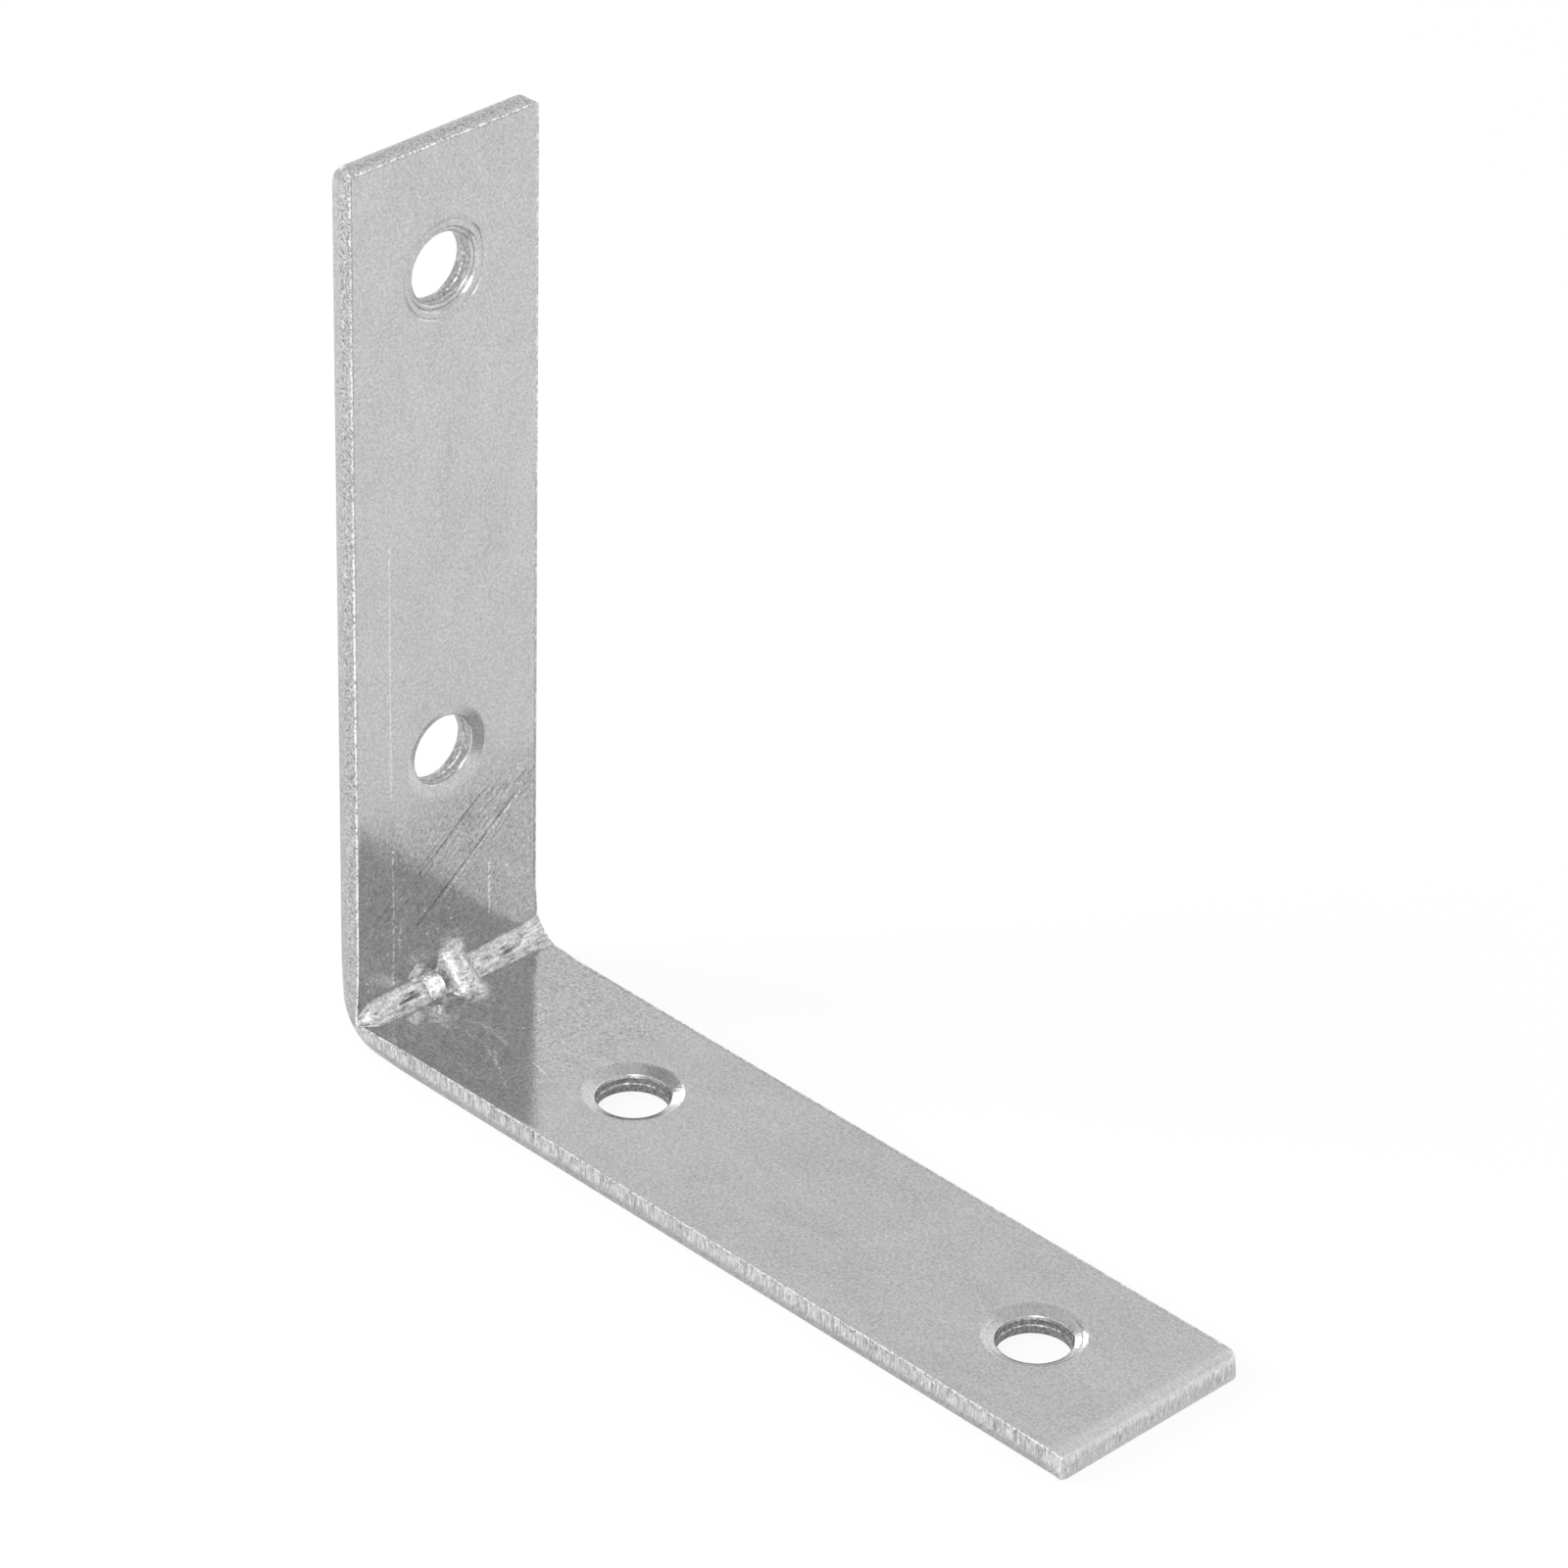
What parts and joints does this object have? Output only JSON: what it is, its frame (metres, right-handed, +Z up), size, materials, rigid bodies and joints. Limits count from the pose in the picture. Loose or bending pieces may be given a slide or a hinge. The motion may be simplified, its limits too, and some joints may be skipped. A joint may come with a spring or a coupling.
{
  "type": "corner angle bracket",
  "caption": "Zinc plated steel corner bracket: a flat strip folded to a right angle with a pressed stiffening bead and countersunk screw holes in both legs.",
  "frame": {"origin": "on the outer corner line, where the planes of the two seating faces meet, at the middle of the strip's width", "axes": "+X along the base leg, +Z up the upright leg, Y across the strip; the base seat is at Z = 0 and the upright seat at X = 0, and the inner faces look towards +Z and +X"},
  "size_m": [0.0746, 0.0186, 0.0724],
  "materials": {
    "zinc_plated_steel": "bright zinc plate, satin, with light handling marks"
  },
  "bodies": {
    "root": {"angle_bracket": "zinc_plated_steel"}
  },
  "joints": []
}
